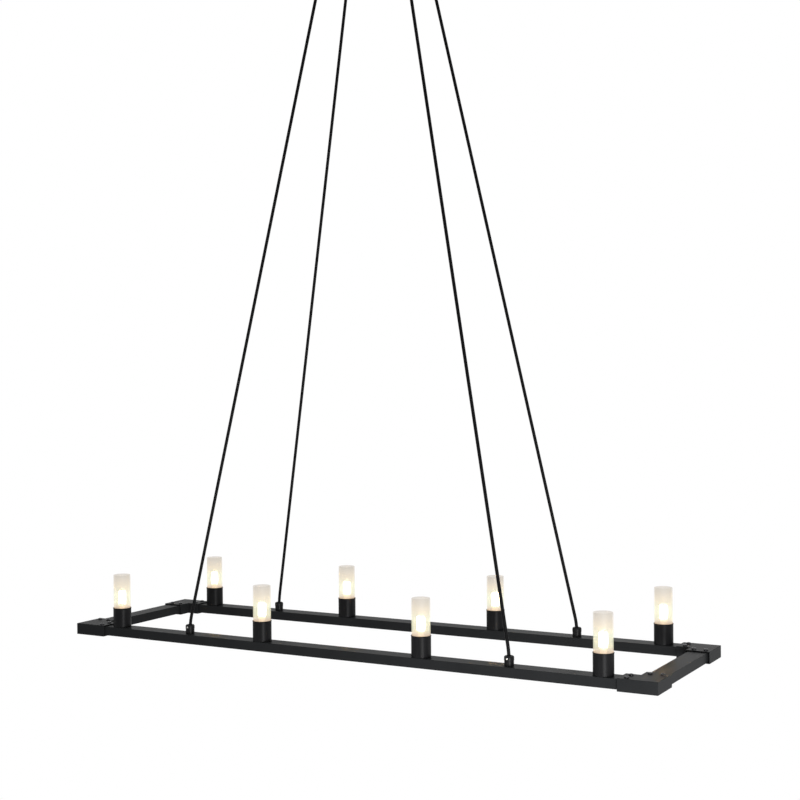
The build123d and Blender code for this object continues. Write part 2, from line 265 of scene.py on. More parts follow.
def matt_mould(name, dark, light, roughness):
    """Moulded plastic or pressed ceramic, faintly mottled."""
    finish = Finish(name, IOR=1.46)
    mottle = finish.noise(size=0.004, detail=3.0)
    finish.set("Base Color", finish.mix(mottle, dark, light))
    finish.set("Roughness", about(roughness, 0.04, mottle))
    finish.bump(finish.noise(size=0.0006), depth=0.00001)
    return finish.material


def frosted_glass():
    """Satin glass with the bulb's light painted on as a glow: peach at the foot, cream beside the bulb,
    warm grey at the top.
    """
    finish = Finish("frosted_glass", IOR=1.45, Emission_Strength=GLASS_GLOW, Specular_IOR_Level=0.3)
    up = (finish.height() - (TUBE_TOP + SHADE_FOOT)) / SHADE_LENGTH
    haze = finish.noise(size=0.0009)
    # the bulb's light on the glass, painted as emission graded by height
    finish.set("Emission Color", finish.ramp(up + HAZE_SHIFT * haze, *GLASS_LIT))
    finish.set("Base Color", finish.mix(haze, GLASS_PALE, GLASS_WHITE))
    finish.set("Roughness", about(GLASS_ROUGHNESS, 0.04, haze))
    finish.set("Alpha", about(GLASS_DENSITY, 0.03, haze))
    finish.bump(haze, depth=0.00001)
    return finish.material


def glowing_capsule():
    """Thin bulb glass, half clear, with the light that it scatters."""
    finish = Finish("bulb_glass", Emission_Strength=CAPSULE_GLOW, Roughness=0.15)
    haze = finish.noise(size=0.003)
    finish.set("Base Color", CAPSULE_COLOR)
    up = (finish.height() - (TUBE_TOP + BULB_SEAT)) / BULB_HEIGHT
    finish.set("Emission Color", finish.ramp(up + HAZE_SHIFT * haze, *CAPSULE_LIT))
    finish.set("Alpha", finish.ramp(up + HAZE_SHIFT * haze, *CAPSULE_DENSITY))
    return finish.material


def glowing_column():
    """The brightest part of the light inside a bulb."""
    finish = Finish("lit_column", Emission_Strength=COLUMN_GLOW)
    haze = finish.noise(size=0.002)
    finish.set("Base Color", COLUMN_COLOR)
    finish.set("Emission Color", finish.mix(haze, COLUMN_DEEP, COLUMN_WARM))
    return finish.material


def cord_jacket():
    """Smooth black jacket of a cord, with faint lines drawn along it by the die."""
    finish = Finish("cord_jacket", Specular_IOR_Level=CORD_SHEEN)
    along = finish.node("ShaderNodeUVMap", {"uv_map": CORD_MAP}, {}, "UV")
    lines = finish.noise(size=1.0, where=finish.scaled(along, (9.0, 0.12, 1.0)))
    finish.set("Base Color", finish.mix(lines, CORD_INK, CORD_SOOT))
    finish.set("Roughness", about(CORD_ROUGHNESS, 0.06, lines))
    finish.bump(lines, depth=0.00002)
    return finish.material


# lamps, with heights above the rail's top
CUP_RADIUS = 0.02025
CUP_INNER_RADIUS = 0.0195
CUP_FLOOR = 0.002
CUP_HEIGHT = 0.044
CUP_RIM_RADIUS = 0.02065
CUP_RIM_HEIGHT = 0.0026
CUP_FOOT = 0.0008  # its chamfer
CUP_EDGE = 0.00025
NIPPLE_HOLE_RADIUS = 0.0051
SHADE_RADIUS = 0.01915
SHADE_WALL = 0.0022
SHADE_FOOT = 0.002
SHADE_LENGTH = 0.117
SHADE_EDGE = 0.0009
SHADE_EDGE_STEPS = 4
PIN_SPREAD = 0.0045
BULB_SEAT = 0.038
BULB_HEIGHT = 0.051  # above its seat

CAPSULE_GLOW = 2.6
COLUMN_GLOW = 45.0
# strength of the painted glow that stands in for the bulb's light on the shades
GLASS_GLOW = 0.9
GLASS_DENSITY = 0.42  # share of the light that one surface stops
GLASS_ROUGHNESS = 0.45
GLASS_PALE = srgb(78, 76, 73)
GLASS_WHITE = srgb(92, 90, 87)
GLASS_LIT = (  # share of the shade's height, and the colour of the glow painted there for the bulb's light
    (0.36, srgb(218, 190, 162)),
    (0.40, srgb(232, 214, 188)),
    (0.46, srgb(234, 234, 204)),
    (0.64, srgb(232, 236, 208)),
    (0.73, srgb(230, 224, 198)),
    (0.81, srgb(228, 216, 193)),
    (0.89, srgb(217, 206, 189)),
    (1.00, srgb(202, 194, 182)),
)
CAPSULE_COLOR = (0.42, 0.40, 0.37)
CAPSULE_LIT = (  # the same for a bulb, above its seat
    (0.26, srgb(150, 130, 100)),
    (0.34, srgb(255, 246, 226)),
    (0.80, srgb(255, 246, 226)),
    (0.86, srgb(110, 100, 84)),
)
CAPSULE_DENSITY = ((0.82, (0.45,) * 3), (0.90, (0.10,) * 3))  # clearer at its tip
COLUMN_COLOR = (0.9, 0.88, 0.8)
COLUMN_DEEP = (1.0, 0.63, 0.35)
COLUMN_WARM = (1.0, 0.70, 0.42)
HAZE_SHIFT = 0.02  # of the height, that haze moves a glow's colours by
SPECKLE_SHARE = 0.55  # of the fine speckle in a coating's patches, against the wide clouds
CORD_MAP = "along_and_around"
CORD_INK = srgb(7, 7, 8)
CORD_SOOT = srgb(16, 16, 17)
CORD_SHEEN = 0.04
CORD_ROUGHNESS = 0.42

frame_paint = powder_coat("frame_paint", srgb(27, 28, 29), srgb(43, 44, 45), roughness=0.36, sheen=0.018)
cup_paint = powder_coat(
    "cup_paint", srgb(16, 16, 17), srgb(29, 29, 30), roughness=0.36, sheen=0.05, grain=0.0006, depth=0.00001
)
dark_steel = turned_metal("dark_steel", srgb(38, 38, 40), srgb(62, 62, 64), roughness=0.24)
gland_black = turned_metal(
    "gland_black", srgb(12, 12, 13), srgb(24, 24, 25), roughness=0.38, metallic=0.0, sheen=0.08
)
bright_steel = turned_metal("bright_steel", srgb(190, 190, 186), srgb(214, 213, 209), roughness=0.22)
zinc_steel = turned_metal("zinc_steel", srgb(150, 152, 154), srgb(186, 188, 190), roughness=0.36)
ceramic = matt_mould("ceramic", srgb(224, 220, 208), srgb(238, 235, 226), roughness=0.4)
terminal_plastic = matt_mould(
    "terminal_plastic", srgb(196, 194, 186), srgb(212, 210, 203), roughness=0.5
)
glass = frosted_glass()
bulb_glass = glowing_capsule()
lit_column = glowing_column()
cord_black = cord_jacket()


# ---- meshes -----------------------------------------------------------------------------------------
TOUCHING = 1e-6  # points closer than this are one
TURN_STEPS = 64  # sides of a wide turned piece
SLIM_STEPS = 48
SMALL_STEPS = 24
SHARP = math.radians(40)  # edges sharper than this get rounded


def turn(bm, profile, closed=True, steps=TURN_STEPS):
    """Spins an outline of (radius, height) points about the upright axis. Returns its vertices."""
    before = set(bm.verts)
    corners = [bm.verts.new((radius, 0, height)) for radius, height in profile]
    pairs = list(zip(corners, corners[1:]))
    if closed:
        pairs.append((corners[-1], corners[0]))
    edges = [bm.edges.new(pair) for pair in pairs]
    bmesh.ops.spin(
        bm, geom=corners + edges, cent=(0, 0, 0), axis=(0, 0, 1), angle=2 * math.pi, steps=steps,
        use_merge=True,
    )
    made = [v for v in bm.verts if v not in before]
    bmesh.ops.remove_doubles(bm, verts=made, dist=TOUCHING)
    return [v for v in bm.verts if v not in before]


def move(bm, verts, place):
    bmesh.ops.translate(bm, verts=verts, vec=place)


def block(bm, size, middle):
    made = bmesh.ops.create_cube(bm, size=1)["verts"]
    bmesh.ops.scale(bm, vec=size, verts=made)
    move(bm, made, middle)
    return made


def quarter_turn(steps):
    """Angles from nothing to a right angle, in equal steps."""
    return [k * math.pi / 2 / steps for k in range(steps + 1)]


def face_outwards(bm):
    bmesh.ops.recalc_face_normals(bm, faces=bm.faces)


def new_parts(geometry, kind):
    """The vertices or the edges in what an operator has made."""
    return [part for part in geometry if isinstance(part, kind)]


def make_piece(name, bm, material, body, nodes=(), bevel=0.0, segments=2):
    """Turns a finished bmesh into a piece that rides on a body and stands for its CAD nodes."""
    face_outwards(bm)
    mesh = bpy.data.meshes.new(name)
    bm.to_mesh(mesh)
    bm.free()
    mesh.polygons.foreach_set("use_smooth", [True] * len(mesh.polygons))
    mesh.materials.append(material)
    piece = bpy.data.objects.new(name, mesh)
    bpy.context.scene.collection.objects.link(piece)
    if bevel:
        rounded = piece.modifiers.new("rounded edges", "BEVEL")
        rounded.width = bevel
        rounded.segments = segments
        rounded.limit_method = "ANGLE"
        rounded.angle_limit = SHARP
        rounded.harden_normals = True
    if nodes:
        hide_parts(*nodes)
    if body:
        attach(piece, body)
    return piece


# ---- frame ------------------------------------------------------------------------------------------
TUBE_WALL = 0.0015
TUBE_EDGE = 0.0015
FRAME_EDGE_STEPS = 3
FRAME_LENGTH = 1.400
FRAME_WIDTH = 0.400
FRAME_MIDDLE = -1.520
SLEEVE_WIDTH = 0.050
SLEEVE_HEIGHT = 0.025
SLEEVE_WALL = 0.002
SLEEVE_EDGE = 0.0012
SLEEVE_LEG = 0.080
MOUTH_DEPTH = 0.030
SCREW_FROM_CORNER = 0.065
SCREW_SPREAD = 0.0125
SCREW_RADIUS = 0.0048
SCREW_HEIGHT = 0.0028
SCREW_SHANK_RADIUS = 0.0025
SCREW_LENGTH = 0.012


def box_tube(bm, low, high, along, wall):
    """A hollow box between two corners, open at both ends of the axis it runs along."""
    size = [high[i] - low[i] for i in range(3)]
    middle = [(high[i] + low[i]) / 2 for i in range(3)]
    block(bm, size, middle)
    across = [f for f in bm.faces if abs(f.normal[along]) > 0.9]
    bmesh.ops.inset_individual(bm, faces=across, thickness=wall)
    bmesh.ops.bridge_loops(bm, edges=[e for f in across for e in f.edges])
    bmesh.ops.delete(bm, geom=across, context="FACES_ONLY")


def make_frame_piece(name, bm, body, node, edge):
    make_piece(name, bm, frame_paint, body, [node], edge, FRAME_EDGE_STEPS)


def make_tubes():
    tubes = [(f"{side}_rail_tube", f"{side}_rail", 0) for side in SIDES]
    tubes += [(f"{end}_cross_tube", f"{end}_end_tube", 1) for end in ENDS]
    for name, node, along in tubes:
        low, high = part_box(node)
        bm = bmesh.new()
        box_tube(bm, low, high, along, TUBE_WALL)
        make_frame_piece(name, bm, "frame", node, TUBE_EDGE)


def corner_shape(bm):
    """An L of larger tube, legs along -X and -Y from its outer corner over the origin."""
    inner = -SLEEVE_WIDTH
    outline = [
        (-SLEEVE_LEG, 0),
        (-SLEEVE_LEG, inner),
        (inner, inner),
        (inner, -SLEEVE_LEG),
        (0, -SLEEVE_LEG),
        (0, 0),
    ]
    corners = [bm.verts.new((x, y, -SLEEVE_HEIGHT / 2)) for x, y in outline]
    floor = bm.faces.new(corners)
    raised = bmesh.ops.extrude_face_region(bm, geom=[floor])["geom"]
    move(bm, new_parts(raised, bmesh.types.BMVert), (0, 0, SLEEVE_HEIGHT))
    bm.normal_update()
    face_outwards(bm)
    mouths = [
        f for f in bm.faces
        if any(all(abs(v.co[axis] + SLEEVE_LEG) < TOUCHING for v in f.verts) for axis in (0, 1))
    ]
    bmesh.ops.inset_individual(bm, faces=mouths, thickness=SLEEVE_WALL)
    for mouth in mouths:
        inward = -mouth.normal.copy()
        deeper = bmesh.ops.extrude_discrete_faces(bm, faces=[mouth])["faces"]
        move(bm, [v for f in deeper for v in f.verts], inward * MOUTH_DEPTH)


def at_corner(bm, end, side):
    """Puts a corner made at the origin in its place. Mirrored once, it is inside out until make_piece."""
    bmesh.ops.scale(bm, vec=(end, side, 1), verts=bm.verts)
    move(bm, bm.verts, (end * FRAME_LENGTH / 2, side * FRAME_WIDTH / 2, FRAME_MIDDLE))


def make_sleeves():
    for side_name, side in SIDES.items():
        for end_name, end in ENDS.items():
            bm = bmesh.new()
            corner_shape(bm)
            at_corner(bm, end, side)
            corner = f"{side_name}_{end_name}"
            make_frame_piece(f"elbow_{corner}", bm, "frame", f"corner_sleeve_{corner}", SLEEVE_EDGE)


def screw_places():
    middle = -SLEEVE_WIDTH / 2
    for across in (middle - SCREW_SPREAD, middle + SCREW_SPREAD):
        yield -SCREW_FROM_CORNER, across
        yield across, -SCREW_FROM_CORNER


def button_head_screw(bm):
    """A domed screw head with a socket sunk in it, on its short shank."""
    r, h = SCREW_RADIUS, SCREW_HEIGHT
    head = turn(bm, [
        (0, -SCREW_LENGTH),
        (SCREW_SHANK_RADIUS, -SCREW_LENGTH),
        (SCREW_SHANK_RADIUS, 0),
        (r * 0.98, 0),
        (r, h * 0.18),
        (r * 0.97, h * 0.50),
        (r * 0.89, h * 0.78),
        (r * 0.77, h * 0.95),
        (r * 0.66, h),
        (r * 0.38, h),
    ], closed=False, steps=SMALL_STEPS)
    rim = [v for v in head if abs(v.co.z - h) < TOUCHING and v.co.xy.length < r * 0.4]
    loop = [e for e in bm.edges if e.verts[0] in rim and e.verts[1] in rim]
    socket = bmesh.ops.extrude_edge_only(bm, edges=loop)["geom"]
    deep = new_parts(socket, bmesh.types.BMVert)
    move(bm, deep, (0, 0, -h * 0.6))
    bmesh.ops.contextual_create(bm, geom=new_parts(socket, bmesh.types.BMEdge))
    return head + deep


def make_screws():
    bm = bmesh.new()
    for side in SIDES.values():
        for end in ENDS.values():
            for x, y in screw_places():
                made = button_head_screw(bm)
                x_place = end * (FRAME_LENGTH / 2 + x)
                y_place = side * (FRAME_WIDTH / 2 + y)
                move(bm, made, (x_place, y_place, FRAME_MIDDLE + SLEEVE_HEIGHT / 2))
    make_piece("button_head_screws", bm, dark_steel, "frame", ["corner_screws"])


# ---- lamps ------------------------------------------------------------------------------------------
RESTING_GAP = 0.00005  # under a shade and a bulb, which would share a plane with what they rest on


def lamp_seat(side, i, above=0):
    low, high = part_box(f"lamp_cup_{side}_{i}")
    return Vector(((low[0] + high[0]) / 2, (low[1] + high[1]) / 2, TUBE_TOP + above))


def make_cup(side, i):
    bm = bmesh.new()
    bead = CUP_RIM_RADIUS - CUP_RADIUS
    made = turn(bm, [
        (NIPPLE_HOLE_RADIUS, 0),
        (CUP_RADIUS - CUP_FOOT, 0),
        (CUP_RADIUS, CUP_FOOT),
        (CUP_RADIUS, CUP_HEIGHT - CUP_RIM_HEIGHT),
        (CUP_RIM_RADIUS, CUP_HEIGHT - CUP_RIM_HEIGHT + bead),
        (CUP_RIM_RADIUS, CUP_HEIGHT - bead),
        (CUP_RADIUS, CUP_HEIGHT),
        (CUP_INNER_RADIUS, CUP_HEIGHT),
        (CUP_INNER_RADIUS, CUP_FLOOR),
        (NIPPLE_HOLE_RADIUS, CUP_FLOOR),
    ])
    move(bm, made, lamp_seat(side, i))
    nodes = [f"lamp_cup_{side}_{i}"]
    make_piece(f"turned_cup_{side}_{i}", bm, cup_paint, "frame", nodes, CUP_EDGE)


def make_shade(side, i):
    bm = bmesh.new()
    inner = SHADE_RADIUS - SHADE_WALL
    made = turn(bm, [
        (inner, SHADE_FOOT),
        (SHADE_RADIUS, SHADE_FOOT),
        (SHADE_RADIUS, SHADE_FOOT + SHADE_LENGTH),
        (inner, SHADE_FOOT + SHADE_LENGTH),
    ])
    move(bm, made, lamp_seat(side, i, RESTING_GAP))
    nodes = [f"glass_shade_{side}_{i}"]
    name, body = f"glass_cylinder_{side}_{i}", f"shade_{side}_{i}"
    make_piece(name, bm, glass, body, nodes, SHADE_EDGE, SHADE_EDGE_STEPS)


HOLDER_BASE_RADIUS = 0.012
HOLDER_BASE_HEIGHT = 0.010
HOLDER_RADIUS = 0.00975
HOLDER_SOCKET_RADIUS = 0.0051
HOLDER_SOCKET_DEPTH = 0.008
PIN_SLOT = (0.0032, 0.0016)
PIN_SLOT_DEPTH = 0.011
HOLDER_EDGE = 0.0005
HOLDER_STEPS = 40


def make_lampholder(side, i):
    """A ceramic holder: a wide base, a narrower body, and two pin slots sunk in its top."""
    bm = bmesh.new()
    top = BULB_SEAT
    made = turn(bm, [
        (0, CUP_FLOOR + HOLDER_SOCKET_DEPTH),
        (HOLDER_SOCKET_RADIUS, CUP_FLOOR + HOLDER_SOCKET_DEPTH),
        (HOLDER_SOCKET_RADIUS, CUP_FLOOR),
        (HOLDER_BASE_RADIUS, CUP_FLOOR),
        (HOLDER_BASE_RADIUS, CUP_FLOOR + HOLDER_BASE_HEIGHT),
        (HOLDER_RADIUS, CUP_FLOOR + HOLDER_BASE_HEIGHT),
        (HOLDER_RADIUS, top),
    ], closed=False, steps=HOLDER_STEPS)
    rim = [e for e in bm.edges if all(abs(v.co.z - top) < TOUCHING for v in e.verts)]
    mouths = []
    for way in (-1, 1):
        corners = bmesh.ops.create_grid(bm, x_segments=1, y_segments=1, size=0.5)["verts"]
        bmesh.ops.scale(bm, vec=(*PIN_SLOT, 1), verts=corners)
        move(bm, corners, (way * PIN_SPREAD, 0, top))
        mouth = corners[0].link_faces[0]
        mouths += mouth.edges[:]
        bmesh.ops.delete(bm, geom=[mouth], context="FACES_ONLY")
        made += corners
    bmesh.ops.triangle_fill(bm, edges=rim + mouths, use_beauty=True)
    walls = bmesh.ops.extrude_edge_only(bm, edges=mouths)["geom"]
    deep = new_parts(walls, bmesh.types.BMVert)
    move(bm, deep, (0, 0, -PIN_SLOT_DEPTH))
    floor_edges = [e for e in new_parts(walls, bmesh.types.BMEdge) if e.is_boundary]
    bmesh.ops.holes_fill(bm, edges=floor_edges, sides=4)
    move(bm, made + deep, lamp_seat(side, i))
    nodes = [f"lampholder_{side}_{i}"]
    name = f"ceramic_holder_{side}_{i}"
    make_piece(name, bm, ceramic, "frame", nodes, HOLDER_EDGE)


CAPSULE_OUTLINE = (  # radius and height above the seat, from the pinch up to the drawn tip
    (0, 0.0110),
    (0.0058, 0.0110),
    (0.0076, 0.0124),
    (0.0087, 0.0146),
    (0.0090, 0.0170),
    (0.0090, 0.0402),
    (0.0086, 0.0424),
    (0.0076, 0.0440),
    (0.0064, 0.0452),
    (0.0056, 0.0466),
    (0.0048, 0.0480),
    (0.0036, 0.0494),
    (0.0020, 0.0505),
    (0, BULB_HEIGHT),
)
CAPSULE_EDGE = 0.0004
PINCH = (0.0125, 0.0055, 0.014)
PIN = (0.0024, 0.0009, 0.0095)
COLUMN_SPREAD = 0.0050
COLUMN_RADIUS = 0.0036
COLUMN_FOOT = 0.0145
COLUMN_TOP = 0.0440


def make_bulb(side, i):
    """A two-pin capsule: pins, pinch and glass, with two lit columns just under its skin."""
    seat = lamp_seat(side, i, BULB_SEAT + RESTING_GAP)
    body = f"bulb_{side}_{i}"
    bm = bmesh.new()
    made = turn(bm, CAPSULE_OUTLINE, closed=False, steps=SLIM_STEPS)
    made += block(bm, PINCH, (0, 0, PINCH[2] / 2))
    for way in (-1, 1):
        made += block(bm, PIN, (way * PIN_SPREAD, 0, -PIN[2] / 2))
    move(bm, made, seat)
    make_piece(f"capsule_bulb_{side}_{i}", bm, bulb_glass, body, [body], CAPSULE_EDGE)
    bm = bmesh.new()
    r = COLUMN_RADIUS
    for way in (-1, 1):
        column = turn(bm, [
            (0, COLUMN_FOOT),
            (r * 0.7, COLUMN_FOOT + r * 0.3),
            (r, COLUMN_FOOT + r),
            (r, COLUMN_TOP - r),
            (r * 0.7, COLUMN_TOP - r * 0.3),
            (0, COLUMN_TOP),
        ], closed=False, steps=SMALL_STEPS)
        move(bm, column, seat + Vector((way * COLUMN_SPREAD, 0, 0)))
    make_piece(f"lit_columns_{side}_{i}", bm, lit_column, body)


# ---- glands -----------------------------------------------------------------------------------------
GLAND_BODY_RADIUS = 0.0096
GLAND_BODY_HEIGHT = 0.0105
GLAND_STUB_RADIUS = 0.005
GLAND_STUB_DEPTH = 0.008
GLAND_NECK_RADIUS = 0.0064
GLAND_NECK_TOP = 0.016
GLAND_NUT_RADIUS = 0.010
GLAND_HEIGHT = 0.020
GLAND_SHOULDER = 0.0036
SHOULDER_STEPS = 5
CORD_HOLE_RADIUS = 0.0038
CORD_MOUTH_RADIUS = 0.0050
CORD_MOUTH_DEPTH = 0.0030
NUT_INNER_RADIUS = 0.0065
SET_SCREW_RADIUS = 0.002
SET_SCREW_HEIGHT = 0.0144
SET_SCREW_INNER = 0.0066
SET_SCREW_OUTER = 0.01025
SET_SCREW_CHAMFER = 0.0004
SET_SCREW_SOCKET = 0.0008
NUT_GAP = 0.0002  # between a clamp nut and the neck inside it
GLAND_EDGE = 0.0004
NUT_EDGE = 0.0003


def gland_body(bm):
    return turn(bm, [
        (0, -GLAND_STUB_DEPTH),
        (GLAND_STUB_RADIUS, -GLAND_STUB_DEPTH),
        (GLAND_STUB_RADIUS, 0),
        (GLAND_BODY_RADIUS, 0),
        (GLAND_BODY_RADIUS, GLAND_BODY_HEIGHT),
        (GLAND_NECK_RADIUS, GLAND_BODY_HEIGHT),
        (GLAND_NECK_RADIUS, GLAND_NECK_TOP),
        (CORD_HOLE_RADIUS, GLAND_NECK_TOP),
        (CORD_HOLE_RADIUS, CORD_SEAT),
        (0, CORD_SEAT),
    ], closed=False, steps=SLIM_STEPS)


def clamp_nut(bm):
    """A nut with a round shoulder, and a mouth that widens for the cord."""
    foot_of_shoulder = GLAND_HEIGHT - GLAND_SHOULDER
    shoulder = [
        (
            GLAND_NUT_RADIUS - GLAND_SHOULDER * (1 - math.cos(turned)),
            foot_of_shoulder + GLAND_SHOULDER * math.sin(turned),
        )
        for turned in quarter_turn(SHOULDER_STEPS)
    ]
    return turn(bm, [
        (NUT_INNER_RADIUS, GLAND_BODY_HEIGHT),
        (GLAND_NUT_RADIUS, GLAND_BODY_HEIGHT),
        *shoulder,
        (CORD_MOUTH_RADIUS, GLAND_HEIGHT),
        (CORD_HOLE_RADIUS, GLAND_HEIGHT - CORD_MOUTH_DEPTH),
        (CORD_HOLE_RADIUS, GLAND_NECK_TOP + NUT_GAP),
        (NUT_INNER_RADIUS, GLAND_NECK_TOP + NUT_GAP),
    ], steps=SLIM_STEPS)


def grub_screw(bm, side):
    """A set screw lying across the frame, its socket on the outer side."""
    made = turn(bm, [
        (0, SET_SCREW_INNER),
        (SET_SCREW_RADIUS, SET_SCREW_INNER),
        (SET_SCREW_RADIUS, SET_SCREW_OUTER - SET_SCREW_CHAMFER),
        (SET_SCREW_RADIUS - SET_SCREW_CHAMFER, SET_SCREW_OUTER),
        (SET_SCREW_RADIUS * 0.5, SET_SCREW_OUTER),
        (SET_SCREW_RADIUS * 0.4, SET_SCREW_OUTER - SET_SCREW_SOCKET),
        (0, SET_SCREW_OUTER - SET_SCREW_SOCKET),
    ], closed=False, steps=SMALL_STEPS)
    outward = Matrix.Rotation(-side * math.pi / 2, 3, "X")
    bmesh.ops.rotate(bm, cent=(0, 0, 0), matrix=outward, verts=made)
    return made


def make_glands():
    nuts = bmesh.new()
    grubs = bmesh.new()
    for side_name, side in SIDES.items():
        for end_name, end in ENDS.items():
            place = Vector((end * GLAND_X, side * RAIL_Y, TUBE_TOP))
            bm = bmesh.new()
            move(bm, gland_body(bm), place)
            nodes = [f"frame_gland_{side_name}_{end_name}"]
            name = f"gland_body_{side_name}_{end_name}"
            make_piece(name, bm, gland_black, "frame", nodes, GLAND_EDGE)
            move(nuts, clamp_nut(nuts), place)
            move(grubs, grub_screw(grubs, side), place + Vector((0, 0, SET_SCREW_HEIGHT)))
    make_piece("clamp_nuts", nuts, gland_black, "frame", ["gland_clamp_nuts"], NUT_EDGE)
    make_piece("grub_screws", grubs, bright_steel, "frame", ["gland_set_screws"])


# ---- cords ------------------------------------------------------------------------------------------
CORD_SIDES = 16
CORD_ORDER = 3  # of its spline
CORD_STEPS = 24  # in each stretch of the spline
MAP_LENGTH = 0.022  # of cord, to one turn of its map


def cord_points(side, end):
    """The cord's route: out of the gland, straight up to the canopy, and into its grip."""
    seat = Vector((end * GLAND_X, side * RAIL_Y, TUBE_TOP + CORD_SEAT))
    bend = Vector((end * GLAND_X, side * RAIL_Y, TUBE_TOP + CORD_BEND))
    top_bend = Vector((end * OUTLET_X, side * OUTLET_Y, CORD_TOP_BEND))
    top = Vector((end * OUTLET_X, side * OUTLET_Y, CORD_TOP))
    up_the_run = (top_bend - bend).normalized() * STRAIGHT_FROM_BEND
    return [seat, bend, bend + up_the_run, top_bend - up_the_run, top_bend, top]


def smooth_line(points, name):
    """Points along the smooth curve that the route's points control."""
    curve = bpy.data.curves.new(name, "CURVE")
    curve.dimensions = "3D"
    curve.resolution_u = CORD_STEPS
    spline = curve.splines.new("NURBS")
    spline.points.add(len(points) - 1)
    for control, point in zip(spline.points, points):
        control.co = (*point, 1)
    spline.order_u = CORD_ORDER
    spline.use_endpoint_u = True
    line = bpy.data.objects.new(name, curve)
    bpy.context.scene.collection.objects.link(line)
    mesh = bpy.data.meshes.new_from_object(line)
    path = [v.co.copy() for v in mesh.vertices]
    bpy.data.meshes.remove(mesh)
    bpy.data.objects.remove(line)
    bpy.data.curves.remove(curve)
    return path


def tube_along(path, radius, around):
    """A closed tube of rings set square to the path, with a map that runs along and around it."""
    bm = bmesh.new()
    grid = bm.loops.layers.uv.new(CORD_MAP)
    rings, turn_of, far_of = [], {}, {}
    far = 0.0
    across = Vector((0, 1, 0))
    last = len(path) - 1
    for i, point in enumerate(path):
        ahead = (path[min(i + 1, last)] - path[max(i - 1, 0)]).normalized()
        side = ahead.cross(across).normalized()
        across = side.cross(ahead).normalized()
        ring = bmesh.ops.create_circle(bm, cap_ends=i in (0, last), segments=around, radius=radius)["verts"]
        turned = Matrix((side, across, ahead)).transposed().to_4x4()
        bmesh.ops.transform(bm, matrix=Matrix.Translation(point) @ turned, verts=ring)
        far += (point - path[max(i - 1, 0)]).length
        turn_of.update({v: k for k, v in enumerate(ring)})
        far_of.update({v: far for v in ring})
        rings.append(list(dict.fromkeys(e for v in ring for e in v.link_edges)))
    for low, high in zip(rings, rings[1:]):
        for face in bmesh.ops.bridge_loops(bm, edges=low + high)["faces"]:
            turns = [turn_of[loop.vert] for loop in face.loops]
            over_seam = max(turns) - min(turns) > 1
            for loop, k in zip(face.loops, turns):
                turned_by = around if over_seam and k == 0 else k
                loop[grid].uv = (turned_by / around, far_of[loop.vert] / MAP_LENGTH)
    return bm


def make_cords():
    for side_name, side in SIDES.items():
        for end_name, end in ENDS.items():
            name = f"cord_{side_name}_{end_name}"
            path = smooth_line(cord_points(side, end), f"{name}_line")
            bm = tube_along(path, CORD_DIAMETER / 2, CORD_SIDES)
            piece = make_piece(f"jacket_{name}", bm, cord_black, None, [name])
            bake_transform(piece)


# ---- canopy -----------------------------------------------------------------------------------------
CANOPY_LENGTH = 0.280
CANOPY_WIDTH = 0.160
CANOPY_HEIGHT = 0.028
CANOPY_WALL = 0.0012
CANOPY_CORNER = 0.004
CANOPY_CORNER_STEPS = 6
CANOPY_EDGE = 0.0008
GRIP_RADIUS = 0.009
GRIP_TIP_RADIUS = 0.006
GRIP_HEIGHT = 0.016
GRIP_TAPER = 0.006
GRIP_STUB_RADIUS = 0.005
GRIP_STUB_HEIGHT = 0.010
GRIP_LINE = 0.008  # below the canopy, where the grip's nut meets its body
GRIP_LINE_DEPTH = 0.0004
GRIP_LINE_HALF = 0.0003
GRIP_ROUNDING = ((0.66, 0.0004), (0.33, 0.0012))  # share of the taper left, and how far drawn in there
GRIP_EDGE = 0.0004
CAP_NUT_X = 0.065
CAP_NUT_FLATS = 0.007
CAP_NUT_HEX = 0.004
CAP_NUT_HEIGHT = 0.0072
CAP_NUT_STEP = 0.0002  # from its flats in to its dome
CAP_NUT_OVERLAP = 0.0004  # of the dome with the hexagon
CAP_NUT_EDGE = 0.0002
CAP_NUT_STEPS = 32
DOME_STEPS = 6


def make_canopy_cover():
    """A folded box of thin sheet with rounded corners, open towards the ceiling."""
    bm = bmesh.new()
    block(bm, (CANOPY_LENGTH, CANOPY_WIDTH, CANOPY_HEIGHT), (0, 0, -CANOPY_HEIGHT / 2))
    upright = [e for e in bm.edges if abs(e.verts[0].co.z - e.verts[1].co.z) > CANOPY_HEIGHT / 2]
    bmesh.ops.bevel(
        bm, geom=upright, offset=CANOPY_CORNER, segments=CANOPY_CORNER_STEPS, profile=0.5,
        affect="EDGES", material=-1,
    )
    bm.normal_update()
    mouth = max(bm.faces, key=lambda f: f.calc_center_median().z)
    bmesh.ops.inset_individual(bm, faces=[mouth], thickness=CANOPY_WALL)
    inside = bmesh.ops.extrude_discrete_faces(bm, faces=[mouth])["faces"][0]
    move(bm, inside.verts[:], (0, 0, CANOPY_WALL - CANOPY_HEIGHT))
    make_frame_piece("canopy_box", bm, "canopy", "canopy_cover", CANOPY_EDGE)


